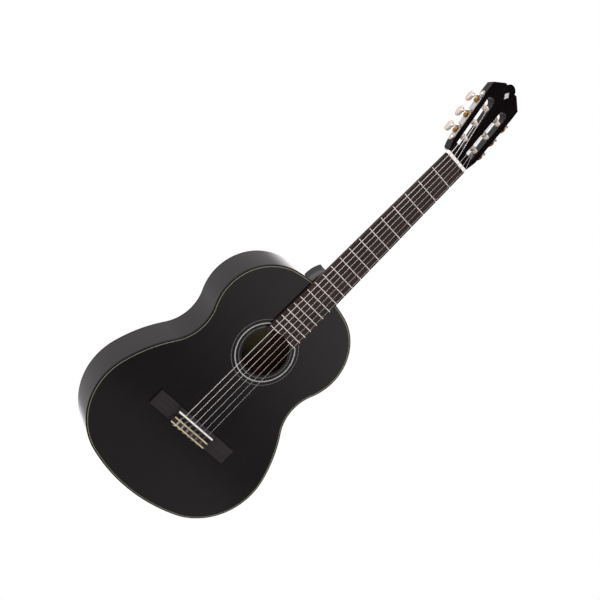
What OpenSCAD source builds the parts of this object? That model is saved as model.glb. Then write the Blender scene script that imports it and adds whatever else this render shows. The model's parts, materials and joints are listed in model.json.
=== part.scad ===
// Classical guitar, standing upright on its tail.
// +Z runs up the neck to the head, +X is the treble side and the soundboard faces -Y.
// Z = 0 is the tail edge of the body and Y = 0 is the front face of the soundboard.

/* [Body outline] */
// Radius of the curve across the tail
tail_r = 336; // [330:1:342]
// Radius of the lower bout
lower_r = 123; // [121:0.5:125]
// Radius of the flank between the lower bout and the waist
flank_r = 267; // [262:1:272]
// Radius of the waist hollow
waist_r = 84; // [82:0.5:86]
// Radius of the upper bout
upper_r = 100.5; // [99:0.5:102]
// Radius of the shoulder beside the neck
shoulder_r = 291; // [286:1:296]

/* [Body depth] */
// Depth of the body on the centre line at the tail
depth_tail = 95.5; // [94:0.5:100]
// Depth of the body on the centre line at the neck
depth_neck = 92.5; // [91:0.5:96]
// Thickness of the soundboard
top_t = 2.5; // [2:0.1:3]
// Thickness of the back
back_t = 2.8; // [2.4:0.1:3.2]
// Thickness of the ribs
rib_t = 2.2; // [2:0.1:2.4]

/* [Soundhole and rosette] */
// Radius of the soundhole
hole_r = 43.3; // [42:0.1:44]
// Distance from the nut to the middle of the soundhole
hole_from_nut = 475; // [472:0.5:478]
// Radii of the three rosette rings, to the middle of each band
ring_r = [48.5, 55.3, 62.3];
// Widths of the three rosette rings
ring_w = [1.3, 2.2, 1.2];

/* [Strings and neck] */
// Scale length from the nut to the theoretical saddle line
scale_len = 650; // [640:1:652]
// Extra length at the saddle that corrects the intonation
saddle_back = 2; // [1:0.5:3]
// Width of the fingerboard at the nut
nut_w = 52; // [51:0.5:53]
// Width of the fingerboard at the twelfth fret
board_w12 = 62.4; // [61:0.2:64]
// Thickness of the fingerboard
board_t = 6; // [5.5:0.1:6.5]
// Thickness of the neck shaft behind the fingerboard, near the nut
shaft_t1 = 15; // [14.5:0.1:15.5]
// Thickness of the neck shaft behind the fingerboard, at the body
shaft_t12 = 17.5; // [17:0.1:18]
// Number of frets
fret_count = 19; // [18:1:19]
// Spread of the outer strings at the nut
spread_nut = 43; // [42:0.5:44]
// Spread of the outer strings at the saddle
spread_saddle = 58.6; // [57:0.2:60]
// Radii of the strings from the lowest to the highest
string_r = [0.55, 0.45, 0.37, 0.51, 0.41, 0.36];

/* [Head and tuners] */
// Backward tilt of the head in degrees
head_tilt = 15; // [14:0.5:16]
// Thickness of the whole head
head_t = 18.5; // [18:0.1:19]
// Thickness of the head veneer
veneer_t = 3.2; // [3:0.1:3.4]
// Spacing of the rollers along the head
roller_gap = 35; // [34.5:0.5:35]
// Height of the middle roller above the nut, along the head
roller_mid = 76; // [75:0.5:77]
// Radius of each roller
roller_r = 5; // [4.8:0.1:5]
// Teeth on each tuner gear
gear_teeth = 14; // [14:1:14]
// Width of each tuner button
button_w = 22; // [20:0.5:23]

/* [Bridge] */
// Length of the bridge
bridge_l = 185; // [182:1:188]
// Width of the bridge along the strings
bridge_w = 31; // [30:0.5:32]
// Height of the saddle's top above the soundboard
saddle_h = 12.6; // [12.2:0.1:13]

/* [Hidden] */
$fn = 96;

// Outline of the body: arcs that run into each other, from the tail to the neck.
function dir(h) = [sin(h), -cos(h)];
turn_1 = 17.7;
turn_2 = 106;
turn_3 = 126.9;
turn_4 = 63.4;
c_tail = [0, tail_r];
p_1 = c_tail + tail_r * dir(turn_1);
c_lower = p_1 - lower_r * dir(turn_1);
p_2 = c_lower + lower_r * dir(turn_2);
c_flank = p_2 - flank_r * dir(turn_2);
p_3 = c_flank + flank_r * dir(turn_3);
c_waist = p_3 + waist_r * dir(turn_3);
p_4 = c_waist - waist_r * dir(turn_4);
c_upper = p_4 - upper_r * dir(turn_4);
turn_5 = 180 - asin(c_upper[0] / (shoulder_r - upper_r));
p_5 = c_upper + upper_r * dir(turn_5);
c_shoulder = p_5 - shoulder_r * dir(turn_5);
body_len = c_shoulder[1] + shoulder_r;

nut_z = body_len + scale_len / 2;
nut_l = 6;
hole_z = nut_z - hole_from_nut;
saddle_z = nut_z - scale_len - saddle_back;
end_z = nut_z - 443;
fret_top = 1.05;
purf_w = 1.5;
binding_t = 5;
rim = 5.8;
lining_h = 15;
tenon_z = body_len - 4.5;
tenon_y = 84;
cap_t = 2.6;
head_y = -veneer_t / cos(head_tilt);
string_y = -8.3;
flare = 2.863;
side_u = 35.25;
wall = 10.3;
slot_w = 16.6;
roller_n = 8;
worm_up = 8.3;
worm_pitch = 2.6;
plate_t = 1.2;
gear_x = 1.6;
gear_w = 3.6;
ink = [0.05, 0.05, 0.055];

function half_w(z) = nut_w / 2 + (board_w12 - nut_w) / 2 * (nut_z - z) / (scale_len / 2);
function fret_z(n) = nut_z - scale_len * (1 - pow(2, -n / 12));

// Points along one arc of the outline, moved inwards by t. A hollow arc has a negative radius.
function arc(c, r, h0, h1, n, t) = [for (k = [0 : n - 1]) c + (r - t) * dir(h0 + (h1 - h0) * k / n)];

function half_outline(t) = concat(
    arc(c_tail, tail_r, 0, turn_1, 8, t),
    arc(c_lower, lower_r, turn_1, turn_2, 36, t),
    arc(c_flank, flank_r, turn_2, turn_3, 12, t),
    arc(c_waist, -waist_r, turn_3, turn_4, 26, t),
    arc(c_upper, upper_r, turn_4, turn_5, 40, t),
    arc(c_shoulder, shoulder_r, turn_5, 180, 6, t),
    [[0, body_len - t]]);

// The body outline, moved inwards by t.
module body2d(t = 0) {
    right = half_outline(t);
    polygon(concat(right, [for (i = [len(right) - 2 : -1 : 1]) [-right[i][0], right[i][1]]]));
}

// Raises a shape drawn in X and Z from y0 to y1.
module slab(y0, y1) {
    translate([0, y1, 0]) rotate([90, 0, 0]) linear_extrude(y1 - y0) children();
}

// Everything in front of the back's outer face, moved forwards by t.
module front_of(t = 0) {
    back_plane(t) translate([-250, -140, -40]) cube([500, 140, body_len + 80]);
}

// Everything behind that plane.
module behind(t = 0) {
    back_plane(t) translate([-250, 0, -40]) cube([500, 60, body_len + 80]);
}

module back_plane(t) {
    lean = atan((depth_neck - depth_tail) / body_len);
    translate([0, depth_tail - t, 0]) rotate([-lean, 0, 0]) children();
}

module body_block(t, y0, y1) {
    slab(y0, y1) body2d(t);
}

module block_box(which) {
    if (which == "neck") translate([-34, -1, body_len - 52]) cube([68, 120, 60]);
    if (which == "tail") translate([-30, -1, -5]) cube([60, 120, 20]);
}

module soundboard() {
    color(ink) difference() {
        body_block(rib_t, 0, top_t);
        slab(-1, top_t + 1) translate([0, hole_z]) circle(hole_r);
        slab(-1, 0.9) difference() {
            body2d(0);
            body2d(rib_t + purf_w);
        }
        for (i = [0 : 2]) slab(-1, 0.9) ring2d(i);
    }
}

module ring2d(i) {
    translate([0, hole_z]) difference() {
        circle(ring_r[i] + ring_w[i] / 2);
        circle(ring_r[i] - ring_w[i] / 2);
    }
}

module rosette() {
    color([0.72, 0.74, 0.74]) for (i = [0 : 2]) slab(0, 0.9) ring2d(i);
}

module purfling() {
    color([0.8, 0.79, 0.66]) slab(0, 0.9) difference() {
        body2d(rib_t);
        body2d(rib_t + purf_w);
    }
}

module binding() {
    color([0.03, 0.03, 0.03]) {
        slab(0, binding_t) difference() {
            body2d(0);
            body2d(rib_t);
        }
        difference() {
            slab(60, 110) difference() {
                body2d(0);
                body2d(rib_t);
            }
            behind(0);
            front_of(binding_t);
        }
    }
}

module back() {
    color(ink) difference() {
        body_block(rib_t, 70, 110);
        behind(0);
        front_of(back_t);
    }
}

module rib(s) {
    color(ink) difference() {
        slab(binding_t, 110) difference() {
            body2d(0);
            body2d(rib_t);
            translate([s > 0 ? -300 : 0, -10]) square([300, 600]);
        }
        behind(binding_t);
        neck_solid();
    }
}

module linings() {
    color([0.62, 0.46, 0.3]) {
        difference() {
            slab(top_t, top_t + lining_h) difference() {
                body2d(rib_t);
                body2d(rib_t + rim);
            }
            block_box("neck");
            block_box("tail");
        }
        difference() {
            slab(60, 110) difference() {
                body2d(rib_t);
                body2d(rib_t + rim);
            }
            behind(back_t);
            front_of(back_t + lining_h);
            block_box("neck");
            block_box("tail");
        }
    }
}

module neck_block() {
    color([0.5, 0.3, 0.19]) difference() {
        slab(top_t, 110) intersection() {
            body2d(rib_t);
            translate([-34, body_len - 52]) square([68, 60]);
        }
        behind(back_t);
        neck_solid();
    }
}

module tail_block() {
    color([0.5, 0.3, 0.19]) difference() {
        slab(top_t, 110) intersection() {
            body2d(rib_t);
            translate([-30, -5]) square([60, 20]);
        }
        behind(back_t);
    }
}

// Seven struts that fan out below the soundhole.
module fan_braces() {
    color([0.8, 0.66, 0.44]) for (k = [-3 : 3])
        translate([k * 17, top_t, 278]) rotate([0, -k * 5.2, 0])
            translate([-3, 0, abs(k) * 9 - 232]) cube([6, 5, 230 - abs(k) * 9]);
}

module cross_bars() {
    color([0.8, 0.66, 0.44]) intersection() {
        union() {
            translate([-250, top_t, 282]) cube([500, 15, 7]);
            translate([-250, top_t, hole_z + 50]) cube([500, 15, 7]);
        }
        body_block(rib_t + rim, 0, 60);
    }
}

module back_braces() {
    color([0.8, 0.66, 0.44]) intersection() {
        for (z = [95, 215, 405]) translate([-250, 70, z]) cube([500, 50, 7]);
        body_block(rib_t + rim, 0, 120);
        difference() {
            front_of(back_t);
            front_of(back_t + 14);
        }
    }
}

// A blank paper slip on the inside of the back.
module label() {
    color([0.86, 0.83, 0.7]) difference() {
        intersection() {
            translate([-30, 60, hole_z - 36]) cube([60, 60, 64]);
            front_of(back_t);
        }
        front_of(back_t + 0.3);
    }
}

// The heel: two curved flanks that meet in a keel.
module heel_flank(s) {
    off = 32;
    sweep = 200;
    translate([s * off, 0, body_len]) rotate([-90, 0, 0]) rotate_extrude($fn = 180)
        difference() {
            square([off + 33, depth_neck + 1]);
            translate([off + 14 + sweep, depth_neck - 2]) circle(sweep, $fn = 360);
        }
}

module heel(y0, y1) {
    intersection() {
        heel_flank(-1);
        heel_flank(1);
        translate([-60, y0, tenon_z]) cube([120, y1 - y0, 90]);
    }
}

module shaft() {
    r1 = (pow(nut_w / 2, 2) + pow(shaft_t1, 2)) / (2 * shaft_t1);
    r12 = (pow(board_w12 / 2, 2) + pow(shaft_t12, 2)) / (2 * shaft_t12);
    len = scale_len / 2;
    lean = atan(((shaft_t12 - r12) - (shaft_t1 - r1)) / len);
    intersection() {
        translate([0, shaft_t12 - r12, body_len]) rotate([lean, 0, 0]) translate([0, 0, -20])
            cylinder(r1 = r12 + (r12 - r1) * 20 / len, r2 = r1 - (r12 - r1) * 20 / len,
                h = len + 40, $fn = 180);
        translate([-60, 0, tenon_z]) cube([120, 40, nut_z + nut_l - tenon_z]);
    }
}

module neck_solid() {
    difference() {
        union() {
            shaft();
            heel(0, depth_neck - cap_t + 1);
        }
        body_block(0, -1, binding_t);
        body_block(0, tenon_y, 130);
    }
}

module neck() {
    color(ink) neck_solid();
}

module heel_cap() {
    color([0.03, 0.03, 0.03]) difference() {
        heel(depth_neck - cap_t + 1, depth_neck + 1);
        body_block(0, 60, 130);
    }
}

module fingerboard() {
    color([0.17, 0.11, 0.09]) difference() {
        slab(-board_t, 0) difference() {
            polygon([[-half_w(nut_z), nut_z], [half_w(nut_z), nut_z],
                [half_w(end_z), end_z], [-half_w(end_z), end_z]]);
            translate([0, hole_z]) circle(hole_r);
        }
        for (n = [1 : fret_count]) translate([-50, -board_t - 1, fret_z(n) - 0.3])
            cube([100, 2.6, 0.6]);
    }
}

module frets() {
    color([0.86, 0.86, 0.84]) difference() {
        for (n = [1 : fret_count]) {
            w = half_w(fret_z(n)) - 0.3;
            intersection() {
                translate([-w, -board_t + 0.25, fret_z(n)]) rotate([0, 90, 0])
                    cylinder(r = 1.3, h = 2 * w, $fn = 32);
                translate([-w, -board_t - 3, fret_z(n) - 3]) cube([2 * w, 3, 6]);
            }
            translate([-w, -board_t, fret_z(n) - 0.3]) cube([2 * w, 1.6, 0.6]);
        }
        slab(-20, 5) translate([0, hole_z]) circle(hole_r);
    }
}

// Where string i runs: 0 is the lowest string and 5 the highest.
function nut_x(i) = (i - 2.5) * spread_nut / 5;
function sad_x(i) = (i - 2.5) * spread_saddle / 5;
function sad_y(i) = -saddle_h - string_r[i];

module rod(a, b, r) {
    d = b - a;
    l = norm(d);
    translate(a) rotate([0, acos(d[2] / l), atan2(d[1], d[0])]) cylinder(r = r, h = l, $fn = 20);
}

// A round wire through a list of points.
module wire(pts, r) {
    for (i = [0 : len(pts) - 2]) rod(pts[i], pts[i + 1], r - (i % 2) * 0.01);
    for (i = [1 : len(pts) - 2]) translate(pts[i]) rotate([17, 31, 0]) sphere(r + 0.03, $fn = 20);
}

function slot_end(i) = i < 3 ? i - 1 : 4 - i;
function head_pt(u, n, v) = [u, head_y + n * cos(head_tilt) + v * sin(head_tilt),
    nut_z + nut_l - n * sin(head_tilt) + v * cos(head_tilt)];
wind_u = [-16.5, -14.3, -13.3, 13.3, 14.3, 16.5];

tie_y = -5.2;
tie_z0 = saddle_z - 22.7;
tie_z1 = saddle_z - 10.7;

function string_pts(i) = [
    head_pt(wind_u[i], roller_n - roller_r - string_r[i] - 0.25,
        roller_mid + roller_gap * slot_end(i)),
    [nut_x(i), string_y, nut_z + nut_l + 0.3],
    [sad_x(i), sad_y(i), saddle_z + 1.5],
    [sad_x(i), sad_y(i), saddle_z - 1.5 - 0.6 * string_r[i]],
    [sad_x(i), tie_y, tie_z1 + 0.5],
    [sad_x(i), tie_y, tie_z0 - 0.8]];

module guitar_string(i) {
    color(i < 3 ? [0.75, 0.75, 0.73] : [0.82, 0.8, 0.78]) wire(string_pts(i), string_r[i]);
}

module nut() {
    color([0.93, 0.92, 0.87]) difference() {
        translate([-nut_w / 2, -8.5, nut_z]) cube([nut_w, 8.5, nut_l]);
        for (i = [0 : 5]) {
            p = string_pts(i);
            rod(p[1] + (p[1] - p[2]) / 100, p[1] + (p[2] - p[1]) / 50, string_r[i] + 0.01);
        }
    }
}

// Outline of the head, drawn with its height above the nut as the second axis.
module head2d() {
    difference() {
        union() {
            polygon([[-26, -8], [26, -8], [26, 0.5], [30.8, 17], [32.9, 29], [38, 131],
                [38.2, 155], [17.3, 172.4], [-17.3, 172.4], [-38.2, 155], [-38, 131],
                [-32.9, 29], [-30.8, 17], [-26, 0.5]]);
            translate([0, 169]) circle(12);
        }
        for (s = [-1, 1]) {
            translate([s * 51.4, 191.8]) circle(36.3, $fn = 180);
            translate([s * 12.3, 173.2]) circle(1.3, $fn = 40);
        }
    }
}

module at_head() {
    translate([0, head_y, nut_z + nut_l]) rotate([-head_tilt, 0, 0]) children();
}

// Tuner frame of one side: x outwards, y into the head, z up the head's edge.
module at_side(s) {
    at_head() mirror([s < 0 ? 1 : 0, 0, 0]) translate([side_u, 0, roller_mid])
        rotate([0, flare, 0]) children();
}

module head_cuts(bores = true) {
    for (s = [-1, 1]) at_side(s) {
        translate([-wall - slot_w, -5, -roller_mid + 21]) cube([slot_w, 40, 102.7]);
        translate([-wall - slot_w / 2, 35, 47.7]) rotate([90, 0, 0])
            cylinder(r = slot_w / 2, h = 40);
        if (bores) for (k = [-1 : 1]) translate([1, roller_n, k * roller_gap])
            rotate([0, -90, 0]) cylinder(r = roller_r + 0.06, h = wall + slot_w + 6);
    }
}

module headstock() {
    color(ink) difference() {
        intersection() {
            at_head() slab(veneer_t, head_t) head2d();
            translate([-100, -50, nut_z + nut_l]) cube([200, 200, 300]);
        }
        head_cuts();
        for (s = [-1, 1]) {
            at_head() mirror([s < 0 ? 1 : 0, 0, 0]) translate([19.5, 11.2, 0])
                rotate([0, 0, 46]) difference() {
                    translate([-3.1, -60, -9]) cube([60, 120, 25]);
                    translate([-3.1, 0, 16]) rotate([90, 0, 0])
                        cylinder(r = 16.3, h = 140, center = true);
                }
            at_side(s) for (z = [-50, 50]) translate([plate_t + 1, 9, z]) rotate([0, -90, 0])
                cylinder(r = 1.21, h = plate_t + 9.1, $fn = 24);
        }
    }
}

module head_veneer() {
    color([0.03, 0.03, 0.035]) difference() {
        intersection() {
            at_head() slab(0, veneer_t) head2d();
            translate([-100, -50, nut_z + nut_l]) cube([200, 200, 300]);
        }
        head_cuts(false);
        for (s = [-1, 1]) at_side(s) for (k = [-1 : 1]) translate([2, roller_n, k * roller_gap])
            rotate([0, -90, 0]) cylinder(r = roller_r + 0.06, h = wall + slot_w + 8);
        inlay_solid();
    }
}

module inlay_solid() {
    at_head() slab(-0.15, 1) translate([0, 157]) polygon([[0, 8], [5, 0], [0, -8], [-5, 0]]);
}

module head_inlay() {
    color([0.85, 0.84, 0.8]) inlay_solid();
}

module bridge() {
    wing_r = 130;
    w = bridge_l / 2;
    z0 = tie_z0 - 0.3;
    color([0.13, 0.13, 0.14]) difference() {
        union() {
            intersection() {
                translate([-w, -8, z0]) cube([bridge_l, 8, bridge_w]);
                translate([-w - 1, wing_r - 5.2, z0 + bridge_w / 2]) rotate([0, 90, 0])
                    cylinder(r = wing_r, h = bridge_l + 2, $fn = 256);
            }
            translate([-43.5, -9.2, saddle_z - 4]) cube([87, 9.2, z0 + bridge_w - saddle_z + 4]);
            translate([-43.5, -10.2, z0]) cube([87, 10.2, tie_z1 - z0]);
        }
        translate([-43.5, -20, tie_z1]) cube([87, 16.4, saddle_z - 4 - tie_z1]);
        translate([-42.5, -20, saddle_z - 1.5]) cube([85, 15.4, 3]);
        for (s = [0, 1]) translate([0, -10.9, tie_z0 - 0.4 + s * (tie_z1 - tie_z0 - 1.8)])
            translate([-41.5, 0, 0]) cube([83, 1.5, 2.3]);
        for (i = [0 : 5]) translate([sad_x(i), tie_y, z0 - 1])
            cylinder(r = 0.9, h = tie_z1 - z0 + 2, $fn = 24);
    }
}

module saddle() {
    color([0.95, 0.94, 0.9]) translate([-42.5, -saddle_h, saddle_z - 1.5])
        cube([85, saddle_h - 4.6, 3]);
}

// Two pale strips let into the top edges of the tie block.
module tie_strips() {
    color([0.84, 0.72, 0.44]) for (s = [0, 1])
        translate([-41.5, -10.5, tie_z0 - 0.3 + s * (tie_z1 - tie_z0 - 1.9)])
            cube([83, 1.1, 2.2]);
}

// Side plate of one set of tuners, with the lugs that carry the worms.
module plate(s) {
    color([0.8, 0.8, 0.78]) at_side(s) difference() {
        union() {
            translate([0, 2.2, -50]) cube([plate_t, 13.8, 100]);
            for (z = [-50, 50]) translate([0, 9.1, z]) rotate([0, 90, 0])
                cylinder(r = 6.9, h = plate_t, $fn = 64);
            for (k = [-1 : 1]) for (y = [0.6, 13.6])
                translate([0, y, k * roller_gap + worm_up - 1.9]) lug();
        }
        for (k = [-1 : 1]) {
            translate([-1, roller_n, k * roller_gap]) rotate([0, 90, 0])
                cylinder(r = 2.56, h = 10);
            translate([gear_x + gear_w / 2, -5, k * roller_gap + worm_up]) rotate([-90, 0, 0])
                cylinder(r = 1.26, h = 40, $fn = 40);
            translate([gear_x + gear_w / 2, 3.2, k * roller_gap + worm_up]) rotate([-90, 0, 0])
                cylinder(r = 2.9, h = 9.6);
        }
        for (z = [-50, 50]) translate([-1, 9, z]) rotate([0, 90, 0])
            cylinder(r = 1.4, h = 10, $fn = 24);
    }
}

module lug() {
    cube([gear_x + gear_w / 2, 2, 3.8]);
    translate([gear_x + gear_w / 2, 0, 1.9]) rotate([-90, 0, 0]) cylinder(r = 2.2, h = 2);
}

module plate_screws() {
    color([0.75, 0.75, 0.73]) for (s = [-1, 1]) at_side(s) for (z = [-50, 50])
        translate([0, 9, z]) rotate([0, 90, 0]) difference() {
            union() {
                translate([0, 0, -8]) cylinder(r = 1.2, h = 8 + plate_t, $fn = 24);
                translate([0, 0, plate_t]) intersection() {
                    translate([0, 0, -3]) sphere(4.2);
                    cylinder(r = 2.7, h = 3);
                }
            }
            translate([-3, -0.3, plate_t + 0.6]) cube([6, 0.6, 2]);
        }
}

// Tuner number i: 0 to 5 from the lowest string to the highest.
module at_tuner(i) {
    at_side(i < 3 ? -1 : 1) translate([0, roller_n, roller_gap * slot_end(i)]) children();
}

module roller(i) {
    color([0.9, 0.86, 0.78]) at_tuner(i) difference() {
        translate([-0.4, 0, 0]) rotate([0, -90, 0]) cylinder(r = roller_r, h = wall + slot_w + 4);
        rotate([0, -90, 0]) cylinder(r = 2.5, h = 80, center = true);
        translate([-wall - slot_w / 2, 0, 0]) rotate([90, 0, 0])
            cylinder(r = 0.8, h = 20, center = true, $fn = 24);
    }
}

gear_r = gear_teeth * worm_pitch / (2 * PI);

module gear2d() {
    tip = gear_r + 0.62;
    root = gear_r - 0.95;
    a = 360 / gear_teeth;
    polygon([for (k = [0 : gear_teeth - 1]) each [
        root * [cos(a * (k - 0.36)), sin(a * (k - 0.36))],
        tip * [cos(a * (k - 0.1)), sin(a * (k - 0.1))],
        tip * [cos(a * (k + 0.1)), sin(a * (k + 0.1))],
        root * [cos(a * (k + 0.36)), sin(a * (k + 0.36))]]]);
}

// Brass gear, its core shaft inside the roller and its end screw.
module gear(i) {
    color([0.78, 0.6, 0.3]) at_tuner(i) {
        difference() {
            union() {
                translate([gear_x, 0, 0]) rotate([0, 90, 0]) rotate([0, 0, 180])
                    linear_extrude(gear_w) gear2d();
                translate([-wall - slot_w - 4, 0, 0]) rotate([0, 90, 0])
                    cylinder(r = 2.5, h = wall + slot_w + 4 + gear_x);
                translate([gear_x + gear_w, 0, 0]) rotate([0, 90, 0]) intersection() {
                    translate([0, 0, -2.6]) sphere(4.2);
                    cylinder(r = 2.9, h = 2);
                }
            }
            translate([-wall - slot_w / 2, 0, 0]) rotate([90, 0, 0])
                cylinder(r = 0.8, h = 20, center = true, $fn = 24);
            translate([gear_x + gear_w + 0.8, -0.35, -4]) cube([3, 0.7, 8]);
        }
    }
}

// Worm with a single thread, on a shaft that runs back to the button.
module worm(i) {
    core = 2.05;
    off = 0.75;
    long = 9.1;
    color([0.78, 0.78, 0.76]) at_tuner(i) translate([gear_x + gear_w / 2, 0, worm_up])
        rotate([-90, 0, 0]) {
            translate([0, 0, -long / 2]) linear_extrude(long, twist = -360 * long / worm_pitch,
                slices = 28, $fn = 14) translate(off * [cos(worm_phase()), sin(worm_phase())])
                circle(core, $fn = 14);
            translate([0, 0, -long / 2 - 3.1]) cylinder(r = 1.2, h = long + 23, $fn = 40);
        }
}

function worm_phase() = -90 - 360 * 9.1 / 2 / worm_pitch;

module button(i) {
    w = button_w / 2;
    color([0.9, 0.87, 0.83]) at_tuner(i) translate([gear_x + gear_w / 2, 26, worm_up])
        difference() {
            union() {
                intersection() {
                    rotate([0, 90, 0]) rotate_extrude() intersection() {
                        translate([0, -4.2]) square([w, 8.4]);
                        translate([w - 9.5, 0]) circle(10, $fn = 120);
                    }
                    translate([-10, -8, -20]) cube([20, 16.5, 40]);
                }
                translate([0, -10.5, 0]) rotate([-90, 0, 0]) cylinder(r = 3, h = 5);
            }
            translate([0, -20, 0]) rotate([-90, 0, 0]) cylinder(r = 1.2, h = 18.45, $fn = 40);
        }
}

soundboard();
back();
rib(-1);  // bass_rib
rib(1);  // treble_rib
linings();
binding();
purfling();
rosette();
fan_braces();
cross_bars();
back_braces();
neck_block();
tail_block();
label();
neck();
headstock();
head_veneer();
heel_cap();
fingerboard();
frets();
nut();
head_inlay();
bridge();
saddle();
tie_strips();
plate(-1);  // bass_plate
plate(1);  // treble_plate
plate_screws();
for (i = [0 : 5]) {
    guitar_string(i);
    roller(i);
    gear(i);
    worm(i);
    button(i);
}
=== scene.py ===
"""Looks of the classical guitar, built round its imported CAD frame. Lengths in the tables are millimetres."""
import json
import math
import bmesh
import bpy
from mathutils import Matrix, Vector

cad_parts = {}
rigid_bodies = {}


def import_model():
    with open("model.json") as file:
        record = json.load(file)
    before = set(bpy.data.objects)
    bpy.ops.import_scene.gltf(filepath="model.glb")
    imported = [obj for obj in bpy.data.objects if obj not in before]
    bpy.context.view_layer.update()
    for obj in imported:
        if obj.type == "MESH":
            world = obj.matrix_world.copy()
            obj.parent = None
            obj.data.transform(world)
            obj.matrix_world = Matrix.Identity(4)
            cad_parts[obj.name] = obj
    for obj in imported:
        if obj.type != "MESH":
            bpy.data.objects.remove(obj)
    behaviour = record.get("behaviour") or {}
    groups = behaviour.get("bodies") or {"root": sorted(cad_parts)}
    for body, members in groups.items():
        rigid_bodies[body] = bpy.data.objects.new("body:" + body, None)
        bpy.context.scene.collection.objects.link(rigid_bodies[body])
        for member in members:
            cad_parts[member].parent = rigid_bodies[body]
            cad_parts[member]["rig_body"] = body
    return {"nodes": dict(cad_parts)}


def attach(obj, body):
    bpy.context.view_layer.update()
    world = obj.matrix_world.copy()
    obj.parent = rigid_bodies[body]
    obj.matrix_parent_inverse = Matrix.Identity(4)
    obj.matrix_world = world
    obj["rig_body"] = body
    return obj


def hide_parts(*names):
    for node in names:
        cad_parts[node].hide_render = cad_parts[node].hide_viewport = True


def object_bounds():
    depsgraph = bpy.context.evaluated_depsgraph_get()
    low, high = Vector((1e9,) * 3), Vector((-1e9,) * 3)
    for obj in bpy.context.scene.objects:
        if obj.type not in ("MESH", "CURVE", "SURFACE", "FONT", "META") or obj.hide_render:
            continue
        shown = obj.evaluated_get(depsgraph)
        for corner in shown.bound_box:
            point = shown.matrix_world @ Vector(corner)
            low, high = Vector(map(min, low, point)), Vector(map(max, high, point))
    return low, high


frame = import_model()
cad_box = [list(corner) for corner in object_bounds()]
nodes = frame["nodes"]
MM = 0.001

# ---------------------------------------------------------------- sizes, as the CAD has them
TAIL_R, LOWER_R, FLANK_R, WAIST_R, UPPER_R, SHOULDER_R = 336, 123, 267, 84, 100.5, 291
TURNS = [0, 17.7, 106, 126.9, 63.4]
DEPTH_TAIL, DEPTH_NECK = 95.5, 92.5
TOP_T, BACK_T, RIB_T, PURF_W, BINDING_H = 2.5, 2.8, 2.2, 1.5, 5.0
HOLE_R = 43.3
NUT_L, HEAD_TILT, VENEER_T = 6.0, 15.0, 3.2
SIDE_U, ROLLER_MID, ROLLER_GAP, FLARE = 35.25, 76.0, 35.0, 2.863
ROLLER_N, ROLLER_R, WORM_UP, WORM_X = 8.0, 5.0, 8.3, 3.4
WALL, SLOT_W = 10.3, 16.6
SCALE_LEN, HOLE_FROM_NUT, SADDLE_FROM_NUT = 650, 475, 652
FRET_COUNT, SADDLE_SPREAD = 19, 58.6
# bass to treble: each string's radius, and where it winds across the head
STRING_R = [0.55, 0.45, 0.37, 0.51, 0.41, 0.36]
WIND_U = [-16.5, -14.3, -13.3, 13.3, 14.3, 16.5]


def bearing(h):
    """Direction on the front's plane, h degrees round from the tail."""
    return Vector((math.sin(math.radians(h)), -math.cos(math.radians(h))))


def body_arcs():
    """Centre, radius, first and last bearing and steps of each arc from the tail to the neck."""
    t1, t2, t3, t4 = TURNS[1:]
    c_tail = Vector((0, TAIL_R))
    p = c_tail + TAIL_R * bearing(t1)
    c_lower = p - LOWER_R * bearing(t1)
    p = c_lower + LOWER_R * bearing(t2)
    c_flank = p - FLANK_R * bearing(t2)
    p = c_flank + FLANK_R * bearing(t3)
    c_waist = p + WAIST_R * bearing(t3)
    p = c_waist - WAIST_R * bearing(t4)
    c_upper = p - UPPER_R * bearing(t4)
    t5 = 180 - math.degrees(math.asin(c_upper.x / (SHOULDER_R - UPPER_R)))
    p = c_upper + UPPER_R * bearing(t5)
    c_shoulder = p - SHOULDER_R * bearing(t5)
    return [(c_tail, TAIL_R, 0, t1, 26), (c_lower, LOWER_R, t1, t2, 90),
            (c_flank, FLANK_R, t2, t3, 36), (c_waist, -WAIST_R, t3, t4, 50),
            (c_upper, UPPER_R, t4, t5, 90), (c_shoulder, SHOULDER_R, t5, 180, 20)]


ARCS = body_arcs()
BODY_LEN = ARCS[-1][0].y + SHOULDER_R
NUT_Z = BODY_LEN + SCALE_LEN / 2
HOLE_Z = NUT_Z - HOLE_FROM_NUT
SADDLE_Z = NUT_Z - SADDLE_FROM_NUT
HEAD_Y = -VENEER_T / math.cos(math.radians(HEAD_TILT))


def half_loop():
    """Points of the outline with their outward directions, from the tail's middle to the neck's middle."""
    out = []
    for c, r, h0, h1, n in ARCS:
        for k in range(n):
            d = bearing(h0 + (h1 - h0) * k / n)
            out.append((c + r * d, d))
    out.append((Vector((0, BODY_LEN)), Vector((0, 1))))
    return out


HALF = half_loop()
LOOP = HALF + [(Vector((-p.x, p.y)), Vector((-d.x, d.y))) for p, d in HALF[-2:0:-1]]


def back_y(z):
    """Depth of the body at height z."""
    return DEPTH_TAIL + (DEPTH_NECK - DEPTH_TAIL) * z / BODY_LEN


# ---------------------------------------------------------------- mesh helpers
def quads(rows, cols, wrap=False):
    """Faces between rows of cols points, each row a closed ring. wrap joins the last row to the first."""
    return [(i * cols + k, i * cols + (k + 1) % cols,
             (i + 1) % rows * cols + (k + 1) % cols, (i + 1) % rows * cols + k)
            for i in range(rows if wrap else rows - 1) for k in range(cols)]


def circle(count):
    """Cosine and sine of each of count steps round a circle."""
    angles = [2 * math.pi * k / count for k in range(count)]
    return [(math.cos(w), math.sin(w)) for w in angles]


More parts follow.
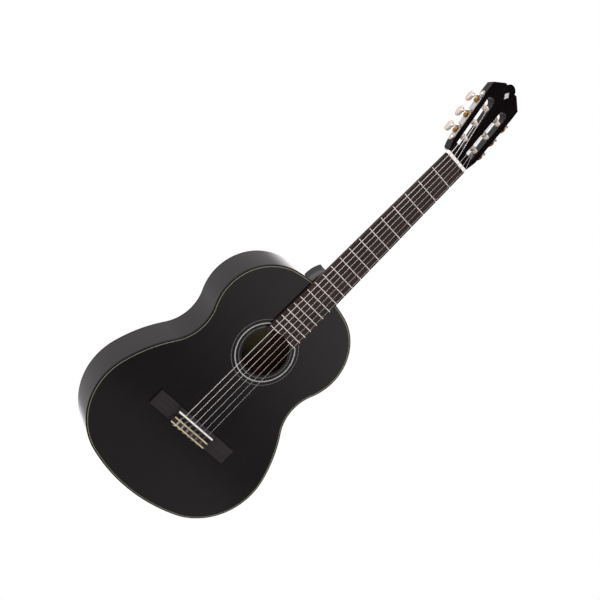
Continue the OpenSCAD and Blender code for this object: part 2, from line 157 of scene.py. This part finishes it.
def new_mesh(name, verts, faces, material, body="guitar", slot=None, angle=30):
    """A piece drawn in millimetres that rides on a body."""
    bm = bmesh.new()
    vs = [bm.verts.new(Vector(v) * MM) for v in verts]
    for f in faces:
        try:
            bm.faces.new([vs[i] for i in f])
        except ValueError:
            pass
    bmesh.ops.remove_doubles(bm, verts=bm.verts, dist=1e-7)
    bmesh.ops.recalc_face_normals(bm, faces=bm.faces)
    me = bpy.data.meshes.new(name)
    bm.to_mesh(me)
    bm.free()
    return finish_mesh(name, me, material, body, angle)


def finish_mesh(name, me, material, body, angle):
    """Makes an object of the mesh, smooth up to angle degrees between faces."""
    for f in me.polygons:
        f.use_smooth = True
    me.set_sharp_from_angle(angle=math.radians(angle))
    for m in material if isinstance(material, (list, tuple)) else [material]:
        me.materials.append(m)
    o = bpy.data.objects.new(name, me)
    bpy.context.scene.collection.objects.link(o)
    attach(o, body)
    return o


def loft(name, profile, material, loop=LOOP, closed=True, **more):
    """Sweeps a closed profile round the outline. Its points are (inset, depth, from the back or not)."""
    verts = []
    m, n = len(profile), len(loop)
    for p, d in loop:
        for t, y, from_back in profile:
            q = p - t * d
            verts.append((q.x, back_y(q.y) - y if from_back else y, q.y))
    faces = quads(n, m, closed)
    if not closed:
        faces += [list(range(m)), [(n - 1) * m + j for j in range(m)][::-1]]
    return new_mesh(name, verts, faces, material, **more)


def smooth_path(points):
    """Catmull-Rom curve through the points."""
    steps = 6
    p = [Vector(q) for q in points]
    p = [2 * p[0] - p[1]] + p + [2 * p[-1] - p[-2]]
    out = []
    for i in range(1, len(p) - 2):
        for k in range(steps):
            t = k / steps
            out.append(0.5 * (2 * p[i] + (p[i + 1] - p[i - 1]) * t
                              + (2 * p[i - 1] - 5 * p[i] + 4 * p[i + 1] - p[i + 2]) * t * t
                              + (3 * p[i] - p[i - 1] - 3 * p[i + 1] + p[i + 2]) * t ** 3))
    return out + [p[-2]]


def tube(points, radius):
    """Vertices and faces of a round wire with narrowed ends."""
    sides, last = 10, len(points) - 1
    tangents = [(points[min(i + 1, last)] - points[max(i - 1, 0)]).normalized()
                for i in range(last + 1)]
    side = tangents[0].orthogonal().normalized()
    rings = []
    for i, t in enumerate(tangents):
        side = (side - t * side.dot(t)).normalized()
        if i == 0:
            rings.append((points[0] - t * radius * 0.8, side.copy(), t, radius * 0.5))
        rings.append((points[i], side.copy(), t, radius))
        if i == last:
            rings.append((points[i] + t * radius * 0.8, side.copy(), t, radius * 0.5))
    verts = []
    for c, a, t, r in rings:
        b = t.cross(a)
        verts += [c + (a * cos + b * sin) * r for cos, sin in circle(sides)]
    faces = quads(len(rings), sides)
    faces += [list(range(sides))[::-1], [(len(rings) - 1) * sides + k for k in range(sides)]]
    return verts, faces


def lathe(profile):
    """Turns a profile of (height, radius) about the local y axis."""
    sides = 48
    verts = [Vector((r * cos, y, r * sin)) for y, r in profile for cos, sin in circle(sides)]
    faces = quads(len(profile), sides)
    faces += [list(range(sides)), [(len(profile) - 1) * sides + k for k in range(sides)][::-1]]
    return verts, faces


def merge(*solids):
    """Several (vertices, faces) as one."""
    verts, faces = [], []
    for v, f in solids:
        faces += [[i + len(verts) for i in face] for face in f]
        verts += v
    return verts, faces


def moved(solid, matrix):
    """The solid with its vertices carried by the matrix."""
    return [matrix @ Vector(v) for v in solid[0]], solid[1]


def refine(node, slot, bevel, angle):
    """A welded copy of a CAD node with softened edges and smooth shading, which stands for it."""
    src = nodes[node].data
    bm = bmesh.new()
    vs = [bm.verts.new(v.co) for v in src.vertices]
    for f in src.polygons:
        bm.faces.new([vs[i] for i in f.vertices])
    bmesh.ops.remove_doubles(bm, verts=bm.verts, dist=3e-6)
    bmesh.ops.dissolve_degenerate(bm, dist=1e-6, edges=bm.edges)
    if bevel:
        bmesh.ops.dissolve_limit(bm, angle_limit=math.radians(0.5), verts=bm.verts, edges=bm.edges)
        edges = [e for e in bm.edges
                 if e.is_manifold and e.calc_face_angle(0) > math.radians(angle)]
        bmesh.ops.bevel(bm, geom=edges, offset=bevel * MM, offset_type="OFFSET", segments=2,
                        profile=0.5, affect="EDGES", clamp_overlap=True)
    bmesh.ops.recalc_face_normals(bm, faces=bm.faces)
    me = bpy.data.meshes.new(node + "_finished")
    bm.to_mesh(me)
    bm.free()
    o = finish_mesh(node + "_finished", me, MAT[slot], nodes[node]["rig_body"],
                    60 if bevel else angle)
    if bevel:
        even = o.modifiers.new("even_normals", "WEIGHTED_NORMAL")
        even.keep_sharp, even.weight = True, 100
    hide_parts(node)
    return o


# ---------------------------------------------------------------- materials
MAT = {}
EVEN = (1, 1, 1)


def feed(tree, socket, value):
    """Links an output to the socket, or sets the socket's value."""
    if isinstance(value, bpy.types.NodeSocket):
        tree.links.new(value, socket)
    else:
        socket.default_value = value


def map_range(tree, source, a, b, low, high):
    """A node that maps a..b to low..high."""
    n = tree.nodes.new("ShaderNodeMapRange")
    for key, value in (("From Min", a), ("From Max", b), ("To Min", low), ("To Max", high)):
        n.inputs[key].default_value = value
    tree.links.new(source, n.inputs[0])
    return n


class Nodes:
    """A material's node tree, with short calls to add nodes to it. MAT keeps it under its name."""

    def __init__(self, name, **values):
        self.mat = MAT[name] = bpy.data.materials.new(name)
        self.mat.use_nodes = True
        self.tree = self.mat.node_tree
        self.tree.nodes.clear()
        self.out = self.tree.nodes.new("ShaderNodeOutputMaterial")
        self.shader = self.tree.nodes.new("ShaderNodeBsdfPrincipled")
        self.link(self.shader.outputs[0], self.out.inputs[0])
        self.coord = self.tree.nodes.new("ShaderNodeTexCoord").outputs["Object"]
        for key, value in values.items():
            self.shader.inputs[key.replace("_", " ")].default_value = value

    def link(self, a, b):
        self.tree.links.new(a, b)

    def texture(self, kind, scale, stretch):
        """A texture node with its scale set, reading stretched object coordinates."""
        place = self.tree.nodes.new("ShaderNodeMapping")
        place.inputs["Scale"].default_value = stretch
        self.link(self.coord, place.inputs["Vector"])
        n = self.tree.nodes.new(kind)
        n.inputs["Scale"].default_value = scale
        self.link(place.outputs[0], n.inputs["Vector"])
        return n

    def noise(self, scale, stretch=EVEN, detail=4, rough=0.5, warp=0.0):
        n = self.texture("ShaderNodeTexNoise", scale, stretch)
        n.inputs["Detail"].default_value = detail
        n.inputs["Roughness"].default_value = rough
        n.inputs["Distortion"].default_value = warp
        return n.outputs[0]

    def cells(self, scale):
        return self.texture("ShaderNodeTexVoronoi", scale, EVEN).outputs[0]

    def wave(self, scale):
        """Bands across the z axis."""
        n = self.texture("ShaderNodeTexWave", scale, EVEN)
        n.bands_direction = "Z"
        return n.outputs[1]

    def ramp(self, source, stops):
        n = self.tree.nodes.new("ShaderNodeValToRGB")
        r = n.color_ramp
        while len(r.elements) < len(stops):
            r.elements.new(0.5)
        for e, (at, colour) in zip(r.elements, stops):
            e.position, e.color = at, (*colour, 1)
        self.link(source, n.inputs[0])
        return n.outputs[0]

    def span(self, source, low, high, a=0.3, b=0.7):
        return map_range(self.tree, source, a, b, low, high).outputs[0]

    def math(self, how, a, b):
        n = self.tree.nodes.new("ShaderNodeMath")
        n.operation = how
        feed(self.tree, n.inputs[0], a)
        feed(self.tree, n.inputs[1], b)
        return n.outputs[0]

    def mix(self, share, source, colour):
        """Colour laid over source where share is 1."""
        n = self.tree.nodes.new("ShaderNodeMix")
        n.data_type = "RGBA"
        self.link(share, n.inputs["Factor"])
        self.link(source, n.inputs[6])
        n.inputs[7].default_value = (*colour, 1)
        return n.outputs[2]

    def colour(self, source):
        self.link(source, self.shader.inputs["Base Color"])

    def roughness(self, source):
        self.link(source, self.shader.inputs["Roughness"])

    def bump(self, height, strength, distance):
        n = self.tree.nodes.new("ShaderNodeBump")
        n.inputs["Strength"].default_value = strength
        n.inputs["Distance"].default_value = distance
        self.link(height, n.inputs["Height"])
        self.link(n.outputs[0], self.shader.inputs["Normal"])


def two_tone(dark, light):
    return [(0.3, dark), (0.7, light)]


def lacquer(name, dark, light, rough=0.09, shine=0.5):
    n = Nodes(name, Specular_IOR_Level=shine, Coat_Weight=0.0)
    n.colour(n.ramp(n.noise(9, (3, 3, 0.4), 5), two_tone(dark, light)))
    n.roughness(n.span(n.noise(60, (1, 1, 0.35), 6, 0.65), rough * 0.75, rough * 1.35))
    n.bump(n.noise(45, (1, 1, 0.5), 1), 0.02, 0.0004)


def wood(name, dark, mid, light, rough=(0.45, 0.62), along="Z", fine=1.0, pores=0.4):
    """Fine grain over broad bands, with dark pores, all drawn out along one axis."""
    stretch = {"Z": (1, 1, 0.06), "X": (0.06, 1, 1)}[along]

    def drawn_out(share):
        return tuple(v * (1 if v == 1 else share) for v in stretch)

    n = Nodes(name, Specular_IOR_Level=0.4, Coat_Weight=0.0, Coat_Roughness=0.2)
    grain = n.noise(260 * fine, stretch, 6, 0.6, 0.4)
    broad = n.noise(34 * fine, drawn_out(2.2), 4, 0.5, 0.8)
    base = n.ramp(n.math("ADD", n.math("MULTIPLY", grain, 0.5), n.math("MULTIPLY", broad, 0.5)),
                  [(0.36, dark), (0.5, mid), (0.64, light)])
    dots = n.span(n.noise(900 * fine, drawn_out(0.7), 3, 0.5), 1, 0, 0.33, 0.42)
    n.colour(n.mix(n.math("MULTIPLY", dots, pores), base, tuple(c * 0.35 for c in dark)))
    n.roughness(n.span(grain, *rough))
    n.bump(n.math("SUBTRACT", grain, n.math("MULTIPLY", dots, 0.6)), 0.25, 0.00012)


def metal(name, dark, light, rough, scratch, metallic):
    n = Nodes(name, Metallic=metallic)
    n.colour(n.ramp(n.noise(120), two_tone(dark, light)))
    fine = n.noise(900, scratch, 4, 0.6)
    n.roughness(n.span(fine, *rough))
    n.bump(fine, 0.06, 0.00005)


def rosette_ink(name, dark, light):
    n = Nodes(name, Coat_Weight=0.4, Coat_Roughness=0.06)
    n.colour(n.ramp(n.cells(900), [(0.15, dark), (0.6, light)]))
    n.roughness(n.span(n.noise(400), 0.22, 0.36))


def smooth(name, tint, stops, gloss, bump=None, **values):
    """Colour from the noise tint, roughness from the noise in gloss, and bump from a third."""
    n = Nodes(name, **values)
    n.colour(n.ramp(n.noise(*tint), stops))
    noise, low, high = gloss
    n.roughness(n.span(n.noise(*noise), low, high))
    if bump:
        noise, strength, distance = bump
        n.bump(n.noise(*noise), strength, distance)


def build_materials():
    lacquer("black_lacquer", (0.0026, 0.0014, 0.0018), (0.0046, 0.0026, 0.0031))
    lacquer("black_binding", (0.0015, 0.0014, 0.0012), (0.0032, 0.003, 0.0026), 0.13, 0.16)
    smooth("pale_purfling", (700,), two_tone((0.15, 0.15, 0.1), (0.22, 0.22, 0.155)),
           ((300,), 0.2, 0.34), Coat_Weight=0.4, Coat_Roughness=0.06)
    rosette_ink("rosette_silver", (0.34, 0.36, 0.35), (0.52, 0.54, 0.52))
    rosette_ink("rosette_dim", (0.085, 0.09, 0.085), (0.14, 0.145, 0.14))
    wood("brace_wood", (0.4, 0.26, 0.12), (0.56, 0.4, 0.21), (0.66, 0.5, 0.29), fine=0.8)
    wood("lining_wood", (0.2, 0.1, 0.045), (0.3, 0.17, 0.08), (0.38, 0.23, 0.12))
    wood("block_wood", (0.13, 0.05, 0.025), (0.2, 0.085, 0.04), (0.27, 0.12, 0.06))
    wood("inside_wood", (0.075, 0.028, 0.016), (0.12, 0.045, 0.024), (0.16, 0.066, 0.036),
         rough=(0.6, 0.8), fine=0.7)
    # the blank label gets a dark olive colour instead of paper cream: painted shade for the dim inside of the
    # body
    smooth("paper_label", (240, EVEN, 8, 0.7),
           two_tone((0.13, 0.115, 0.06), (0.17, 0.155, 0.085)),
           ((500,), 0.75, 0.9), ((900, EVEN, 5), 0.2, 0.0001), Specular_IOR_Level=0.2)
    wood("rosewood", (0.012, 0.0065, 0.006), (0.026, 0.013, 0.011), (0.045, 0.022, 0.018),
         rough=(0.34, 0.5), pores=0.7)
    wood("bridge_wood", (0.0125, 0.0085, 0.0092), (0.0195, 0.0142, 0.015),
         (0.029, 0.0215, 0.0222), rough=(0.42, 0.56), along="X", pores=0.6)
    metal("fret_metal", (0.86, 0.79, 0.76), (0.95, 0.89, 0.86), (0.2, 0.34), (0.08, 1, 1), 0.45)
    metal("nickel", (0.78, 0.74, 0.7), (0.9, 0.87, 0.83), (0.1, 0.22), (1, 1, 0.1), 0.72)
    metal("gear_brass", (0.3, 0.155, 0.05), (0.52, 0.32, 0.13), (0.2, 0.36), (1, 1, 0.1), 0.85)
    smooth("white_bone", (120, (0.3, 1, 1), 5), two_tone((0.92, 0.9, 0.86), (0.97, 0.96, 0.93)),
           ((400,), 0.24, 0.4), ((500, (0.3, 1, 1), 4), 0.08, 0.0001),
           Subsurface_Weight=0.15, Subsurface_Radius=(0.6, 0.45, 0.3), Subsurface_Scale=0.001)
    smooth("pearl_inlay", (260, EVEN, 3, 0.5, 2.0),
           [(0.3, (0.42, 0.4, 0.39)), (0.5, (0.6, 0.6, 0.56)), (0.7, (0.5, 0.55, 0.56))],
           ((300,), 0.18, 0.32), Coat_Weight=0.5, Coat_Roughness=0.05)
    smooth("tie_gold", (420, (0.4, 1, 1), 4, 0.5, 1.0),
           two_tone((0.68, 0.53, 0.27), (0.86, 0.73, 0.44)),
           ((500,), 0.24, 0.4), Coat_Weight=0.3, Coat_Roughness=0.1)

    n = Nodes("wound_string", Metallic=0.5)
    n.colour(n.ramp(n.noise(300, EVEN, 3), two_tone((0.7, 0.66, 0.63), (0.86, 0.82, 0.79))))
    n.roughness(n.span(n.noise(700), 0.22, 0.36))
    n.bump(n.wave(1150), 0.6, 0.00008)

    smooth("nylon_string", (500, (1, 1, 0.1), 3),
           two_tone((0.36, 0.34, 0.33), (0.48, 0.46, 0.44)),
           ((500, (1, 1, 0.2)), 0.14, 0.24),
           Transmission_Weight=0.25, IOR=1.53, Specular_IOR_Level=0.6)
    smooth("roller_plastic", (160,), two_tone((0.72, 0.62, 0.53), (0.82, 0.73, 0.65)),
           ((600,), 0.26, 0.4), Coat_Weight=0.2,
           Subsurface_Weight=0.1, Subsurface_Radius=(0.8, 0.6, 0.4), Subsurface_Scale=0.001)

    n = Nodes("button_pearl", Coat_Weight=0.6, Coat_Roughness=0.04,
              Subsurface_Weight=0.12, Subsurface_Radius=(0.9, 0.6, 0.5), Subsurface_Scale=0.002)
    swirl = n.noise(85, EVEN, 3, 0.45, 3.2)
    n.colour(n.ramp(swirl, [(0.32, (0.5, 0.4, 0.35)), (0.46, (0.6, 0.51, 0.45)),
                            (0.58, (0.53, 0.43, 0.38)), (0.7, (0.64, 0.55, 0.49))]))
    n.roughness(n.span(swirl, 0.12, 0.3))


def string_material(i):
    """The three basses are wound, and the three trebles are plain. i counts from the bass side."""
    return "wound_string" if i < 3 else "nylon_string"


# ---------------------------------------------------------------- body
def edge_profile(from_back):
    """The binding's section: square inside, with a rounded outer edge."""
    r, steps = 1.1, 5
    angles = [math.radians(90 * k / steps) for k in range(steps + 1)]
    arc = [(r - r * math.cos(a), r - r * math.sin(a), from_back) for a in angles]
    return [(0, BINDING_H, from_back)] + arc + [(RIB_T, 0, from_back), (RIB_T, BINDING_H, from_back)]


def fan(centre, inner, inset, y_of, rings):
    """Rings of vertices from a circle or point round centre out to the outline, moved inwards."""
    verts = []
    for k in range(rings + 1):
        s = k / rings
        for p, d in LOOP:
            q = p - inset * d
            v = q - centre
            w = centre + v.normalized() * inner if inner else centre
            x = w.lerp(q, s)
            verts.append((x.x, y_of(x, s), x.y))
    return verts, quads(rings + 1, len(LOOP))


def plate(name, centre, inner, inset, front, back, rings, node):
    """A closed lacquered plate, with a hole if inner isn't 0, that stands for a CAD node."""
    n = len(LOOP)
    va, fa = fan(centre, inner, inset, front, rings)
    vb, fb = fan(centre, inner, inset, back, rings)
    off = len(va)
    faces = fa + [[i + off for i in f[::-1]] for f in fb]
    edge = rings * n
    for i in range(n):
        j = (i + 1) % n
        faces.append((edge + i, edge + j, off + edge + j, off + edge + i))
        if inner:
            faces.append((j, i, off + i, off + j))
    o = new_mesh(name, va + vb, faces, [MAT["black_lacquer"], MAT["inside_wood"]], slot="black_lacquer")
    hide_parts(node)
    return o


def paint_inside(o, test):
    """Faces that pass the test get the second material."""
    for f in o.data.polygons:
        if test(f):
            f.material_index = 1


def build_ribs():
    section = [(0, BINDING_H, False), (0, BINDING_H, True),
               (RIB_T, BINDING_H, True), (RIB_T, BINDING_H, False)]
    for side, name in ((1, "treble_rib"), (-1, "bass_rib")):
        loop = [(Vector((side * q.x, q.y)), Vector((side * d.x, d.y))) for q, d in HALF]

        def faces_in(f):
            c, normal = f.center, f.normal
            _, out = min(loop, key=lambda pd: (pd[0].x * MM - c.x) ** 2 + (pd[0].y * MM - c.z) ** 2)
            return normal.x * out.x + normal.z * out.y < -0.5

        r = loft(name + "_bent", section, [MAT["black_lacquer"], MAT["inside_wood"]], loop, False,
                 slot="black_lacquer")
        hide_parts(name)
        paint_inside(r, faces_in)


def build_body():
    binding = MAT["black_binding"]
    b = loft("front_binding", edge_profile(False), binding, slot="black_binding")
    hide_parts("binding")
    loft("back_binding", edge_profile(True), binding, slot="black_binding")
    line_in, line_h = RIB_T + PURF_W, 0.9
    p = loft("purfling_line", [(RIB_T, 0, False), (line_in, 0, False), (line_in, line_h, False),
                               (RIB_T, line_h, False)], MAT["pale_purfling"], slot="pale_purfling")
    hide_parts("purfling")
    build_ribs()

    top = plate("top_plate", Vector((0, HOLE_Z)), HOLE_R, line_in, lambda x, s: 0.0,
                lambda x, s: TOP_T, 14, "soundboard")
    paint_inside(top, lambda f: f.normal.y > 0.5)

    dome_h, dome_z = 2.0, 215

    def dome(x, s):
        return back_y(x.y) + dome_h * (1 - s * s) ** 1.5

    back = plate("back_plate", Vector((0, dome_z)), 0, RIB_T, dome,
                 lambda x, s: dome(x, s) - BACK_T, 40, "back")
    paint_inside(back, lambda f: f.normal.y < -0.5)


def ring(r0, r1):
    """A flat ring let into the top round the soundhole."""
    y0, y1, sides = -0.04, 0.6, 240
    verts = [(r * cos, y, HOLE_Z + r * sin) for cos, sin in circle(sides)
             for r, y in ((r0, y1), (r0, y0), (r1, y0), (r1, y1))]
    return verts, quads(sides, 4, True)


def build_rosette():
    bright = merge(ring(54.3, 55.0), ring(55.12, 55.5), ring(55.62, 56.3))
    o = new_mesh("rosette_main", *bright, MAT["rosette_silver"], slot="rosette_silver")
    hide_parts("rosette")
    dim = merge(ring(47.8, 48.3), ring(48.6, 49.2), ring(61.6, 62.1), ring(62.4, 62.9))
    new_mesh("rosette_lines", *dim, MAT["rosette_dim"], slot="rosette_silver")


# ---------------------------------------------------------------- head and tuners
TILT = math.radians(HEAD_TILT)
HEAD_U = Vector((1, 0, 0))
HEAD_N = Vector((0, math.cos(TILT), -math.sin(TILT)))
HEAD_V = Vector((0, math.sin(TILT), math.cos(TILT)))
HEAD_O = Vector((0, HEAD_Y, NUT_Z + NUT_L))


def tuner_matrix(i):
    """From the frame of string i's tuner to the guitar's, in millimetres."""
    s, f = side_of(i), math.radians(FLARE)
    x = s * math.cos(f) * HEAD_U - math.sin(f) * HEAD_V
    z = s * math.sin(f) * HEAD_U + math.cos(f) * HEAD_V
    o = HEAD_O + s * SIDE_U * HEAD_U + ROLLER_MID * HEAD_V + z * along_row(i) + HEAD_N * ROLLER_N
    return Matrix([(x[i], HEAD_N[i], z[i], o[i]) for i in range(3)] + [(0, 0, 0, 1)])


def side_of(i):
    return -1 if i < 3 else 1


def along_row(i):
    """How far string i's roller lies from the middle one of its row."""
    return ROLLER_GAP * (i - 1 if i < 3 else 4 - i)


def button_solid():
    """A pillow-shaped oval, thin outwards, with its long side along the head."""
    verts = []
    rows, cols = 26, 64
    half_out, half_across, half_along = 4.1, 7.6, 10.9

    def power(v, e):
        return math.copysign(abs(v) ** e, v)

    for i in range(rows + 1):
        a = math.pi * (i / rows - 0.5)
        rho = power(math.cos(a), 0.55)
        for cos, sin in circle(cols):
            verts.append(Vector((half_out * power(math.sin(a), 0.62),
                                 half_across * rho * power(cos, 0.86) + 0.25,
                                 half_along * rho * power(sin, 0.9))))
    return verts, quads(rows + 1, cols)


def build_tuners():
    button, button_y = button_solid(), 26
    collar = lathe([(-10.5, 1.3), (-10.5, 2.5), (-10.1, 2.9), (-9.4, 2.9), (-9.0, 2.4),
                    (-8.4, 2.2), (-7.9, 2.5), (-7.4, 3.0), (-6.6, 3.0), (-6.6, 1.3)])
    for i in range(6):
        name = f"button_{6 - i}"
        to_guitar = tuner_matrix(i)
        at = to_guitar @ Matrix.Translation((WORM_X, button_y, WORM_UP))
        o = new_mesh(name + "_pearl", *moved(button, at), MAT["button_pearl"], name, "button_pearl")
        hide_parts(name)
        new_mesh(name + "_collar", *moved(collar, at), MAT["nickel"], name, "nickel")
        build_winding(i, to_guitar)


def build_winding(i, to_guitar):
    """The string's lead onto its roller, held by the guitar, and the turns that go with the roller."""
    r = STRING_R[i]
    f = math.radians(FLARE)
    start = (abs(WIND_U[i]) - SIDE_U - along_row(i) * math.sin(f)) / math.cos(f)
    middle = -WALL - SLOT_W / 2
    way = -1 if start > middle else 1
    turns, turn_steps, lead_steps = 3, 28, 16
    pitch, beside, lead_lift = 2 * r + 0.06, start + way * (2 * r + 0.08), 0.25

    def coil(first, rad, advance, count):
        """count steps round the roller, moving advance along it in each turn."""
        pts = []
        for k in range(count + 1):
            w = 2 * math.pi * k / turn_steps
            pts.append(Vector((first + advance * k / turn_steps, -rad * math.cos(w), rad * math.sin(w))))
        return moved(tube(pts, r), to_guitar)

    name = string_material(i)
    new_mesh(f"winding_{6 - i}", *coil(beside, ROLLER_R + r, way * pitch, turns * turn_steps),
             MAT[name], f"roller_{6 - i}", name)
    new_mesh(f"lead_{6 - i}", *coil(start, ROLLER_R + r + lead_lift, 0, lead_steps),
             MAT[name], "guitar", name)


def build_ties():
    """Each string's loop over the tie block, with its short tucked end."""
    tie_y, block_top = -5.2, -10.5
    z0, z1 = SADDLE_Z - 22.7, SADDLE_Z - 10.7
    for i in range(6):
        r = STRING_R[i]
        x = (i - 2.5) * SADDLE_SPREAD / 5
        top = block_top - r - 0.12
        pts = [(x, tie_y, z0 + 0.6), (x, tie_y, z0 - 0.9), (x + 0.2, tie_y - 1.6, z0 - 1.0 - r),
               (x + 0.5, top + 1.2, z0 - 0.8 - r), (x + 0.8, top, z0 + 0.6), (x + 1.0, top, z0 + 4),
               (x + 1.1, top, z1 - 3), (x + 1.2, top, z1 - 0.4), (x + 1.2, top + 1.6, z1 + 0.7 + r),
               (x + 0.5, tie_y - 1.6 - r, z1 + 0.9 + r), (x - 0.6, tie_y - 1.7 - r, z1 + 0.9 + r),
               (x - 1.2, top + 1.5, z1 + 0.7 + r), (x - 1.3, top, z1 - 0.5), (x - 1.3, top, z1 - 4),
               (x - 0.9, top - 0.1, z0 + 4), (x - 0.6, top - 0.1, z0 + 0.4),
               (x - 1.2, top + 1.0, z0 - 1.0 - r), (x - 2.2, top + 2.6, z0 - 1.7 - r),
               (x - 3.2, top + 3.6, z0 - 2.6 - r)]
        name = string_material(i)
        new_mesh(f"tie_{6 - i}", *tube(smooth_path(pts), r * 0.95), MAT[name], "guitar", name)


# ---------------------------------------------------------------- CAD nodes with finished edges
FINISH = {
    # node: (material, softened edge in mm)
    "neck": ("black_lacquer", 0), "heel_cap": ("black_binding", 0.25),
    "headstock": ("black_lacquer", 0.5), "head_veneer": ("black_lacquer", 0.35),
    "fingerboard": ("rosewood", 0.15), "frets": ("fret_metal", 0), "nut": ("white_bone", 0.35),
    "saddle": ("white_bone", 0.5), "bridge": ("bridge_wood", 0.7), "tie_strips": ("tie_gold", 0.15),
    "head_inlay": ("pearl_inlay", 0.05), "bass_plate": ("nickel", 0.2),
    "treble_plate": ("nickel", 0.2), "plate_screws": ("nickel", 0),
    "fan_braces": ("brace_wood", 0.3), "cross_bars": ("brace_wood", 0.3),
    "back_braces": ("brace_wood", 0.3), "linings": ("lining_wood", 0),
    "neck_block": ("block_wood", 0), "tail_block": ("block_wood", 0), "label": ("paper_label", 0),
}


def crown(o):
    """Draws each fret in to the width of its rounded crown."""
    share = 0.72
    rows = [(NUT_Z - SCALE_LEN * (1 - 2 ** (-n / 12))) * MM for n in range(1, FRET_COUNT + 1)]
    for v in o.data.vertices:
        row = min(rows, key=lambda z: abs(z - v.co.z))
        v.co.z = row + (v.co.z - row) * share


def slim_heel(o):
    """Draws the heel in towards the back: its sides by up to 34 %, and its front by up to 12 %."""
    heel_y = 22
    for v in o.data.vertices:
        x, y, z = (c / MM for c in v.co)
        if y > heel_y:
            deep = min(1.0, (y - heel_y) / 50)
            v.co.x = x * (1 - 0.34 * deep * deep * (3 - 2 * deep)) * MM
            if z > BODY_LEN:
                middle = math.sin(math.pi * min(1.0, (y - heel_y) / 66))
                v.co.z = (BODY_LEN + (z - BODY_LEN) * (1 - 0.12 * middle)) * MM


def build_finished():
    for node, (slot, bevel) in FINISH.items():
        o = refine(node, slot, bevel, 40 if node == "frets" else 35)
        if node == "frets":
            crown(o)
        if node in ("neck", "heel_cap"):
            slim_heel(o)
    for k in range(1, 7):
        refine(f"string_{k}", string_material(6 - k), 0, 40)
        refine(f"roller_{k}", "roller_plastic", 0.2, 35)
        refine(f"gear_{k}", "gear_brass", 0.08, 30)
        refine(f"worm_{k}", "nickel", 0, 50)


# ---------------------------------------------------------------- studio
def add_object(name, data):
    o = bpy.data.objects.new(name, data)
    bpy.context.scene.collection.objects.link(o)
    return o


def build_floor():
    """A pale floor that takes the light like any other but looks plain white to the camera."""
    size, gap = 40, 0.0005
    me = bpy.data.meshes.new("studio_floor")
    corners = [(-size, -size, 0), (size, -size, 0), (size, size, 0), (-size, size, 0)]
    me.from_pydata(corners, [], [(0, 1, 2, 3)])
    floor = add_object("studio_floor", me)
    floor.location.z = cad_box[0][2] - gap
    n = Nodes("studio_floor", Roughness=0.9, Specular_IOR_Level=0.1)
    n.colour(n.ramp(n.noise(3), two_tone((0.6, 0.6, 0.6), (0.64, 0.64, 0.64))))
    glow = n.tree.nodes.new("ShaderNodeEmission")
    glow.inputs["Strength"].default_value = 1.0
    mix = n.tree.nodes.new("ShaderNodeMixShader")
    path = n.tree.nodes.new("ShaderNodeLightPath")
    n.link(path.outputs["Is Camera Ray"], mix.inputs[0])
    n.link(n.shader.outputs[0], mix.inputs[1])
    n.link(glow.outputs[0], mix.inputs[2])
    n.link(mix.outputs[0], n.out.inputs[0])
    me.materials.append(n.mat)
    floor.visible_glossy = False


def build_world():
    """A white room to the camera. Its light has a strength for each direction it comes from."""
    world = bpy.data.worlds.new("studio")
    bpy.context.scene.world = world
    world.use_nodes = True
    t = world.node_tree
    t.nodes.clear()

    def add(kind, *values, **named):
        """A node fed by values in the order of its sockets, or by their names."""
        node = t.nodes.new(kind)
        for key, value in [*enumerate(values), *named.items()]:
            feed(t, node.inputs[key], value)
        return node

    def step(source, a, b, low, high):
        node = map_range(t, source, a, b, low, high)
        node.interpolation_type = "SMOOTHSTEP"
        return node.outputs[0]

    def combine(how, a, b):
        node = add("ShaderNodeMath", a, b)
        node.operation = how
        return node.outputs[0]

    def blend(share, a, b):
        return add("ShaderNodeMix", Factor=share, A=a, B=b).outputs[0]

    x, y, z = add("ShaderNodeSeparateXYZ", add("ShaderNodeTexCoord").outputs["Generated"]).outputs
    # from in front: what the flat front mirrors, brighter towards the neck's and the tail's ends
    near_neck = step(z, -0.13, 0.03, 0.21, 0.76)
    near_tail = step(z, -0.145, -0.175, 0.0, 0.2)
    along = combine("ADD", near_neck, near_tail)
    across = combine("MULTIPLY", step(x, 0.36, 0.56, 0.85, 1.14), step(z, 0.05, 0.3, 1.0, 0.05))
    front = combine("MULTIPLY", along, across)
    # from the sides and above, and from behind
    behind = step(x, 0.08, 0.42, 0.46, 1.5)
    sides = blend(step(y, 0.5, 0.85, 0.0, 1.0), step(z, -0.55, 0.15, 0.55, 2.3), behind)
    light = blend(step(y, -0.25, -0.58, 0.0, 1.0), sides, front)
    lit = add("ShaderNodeBackground", (1.0, 0.955, 0.97, 1), light)
    seen = add("ShaderNodeBackground", (1, 1, 1, 1), 1.0)
    camera_ray = add("ShaderNodeLightPath").outputs["Is Camera Ray"]
    mix = add("ShaderNodeMixShader", camera_ray, lit.outputs[0], seen.outputs[0])
    add("ShaderNodeOutputWorld", mix.outputs[0])


def build_lamp():
    place, aim = Vector((-1.5, -1.9, 2.2)), Vector((0, 0, 0.5))
    data = bpy.data.lights.new("key", "AREA")
    data.size, data.energy = 1.2, 23
    lamp = add_object("key", data)
    lamp.location = place
    lamp.rotation_euler = (aim - place).to_track_quat("-Z", "Y").to_euler()


def build_camera():
    """The photograph's view, fitted to its fret ends, outer strings, nut and saddle."""
    data = bpy.data.cameras.new("camera")
    data.sensor_width, data.lens = 36, 68.16
    camera = add_object("camera", data)
    right = Vector((0.6351398, -0.31670246, 0.70448349))
    up = Vector((-0.6320485, 0.31115615, 0.70971582))
    behind = Vector((-0.44397311, -0.8960365, -0.00254366))
    place = Vector((-0.91262, -1.79267, 0.44637))
    rows = [(right[i], up[i], behind[i], place[i]) for i in range(3)]
    camera.matrix_world = Matrix(rows + [(0, 0, 0, 1)])
    bpy.context.scene.camera = camera


build_materials()
build_camera()
build_body()
build_rosette()
build_tuners()
build_ties()
build_finished()
build_floor()
build_world()
build_lamp()
bpy.context.scene.view_settings.view_transform = "Standard"
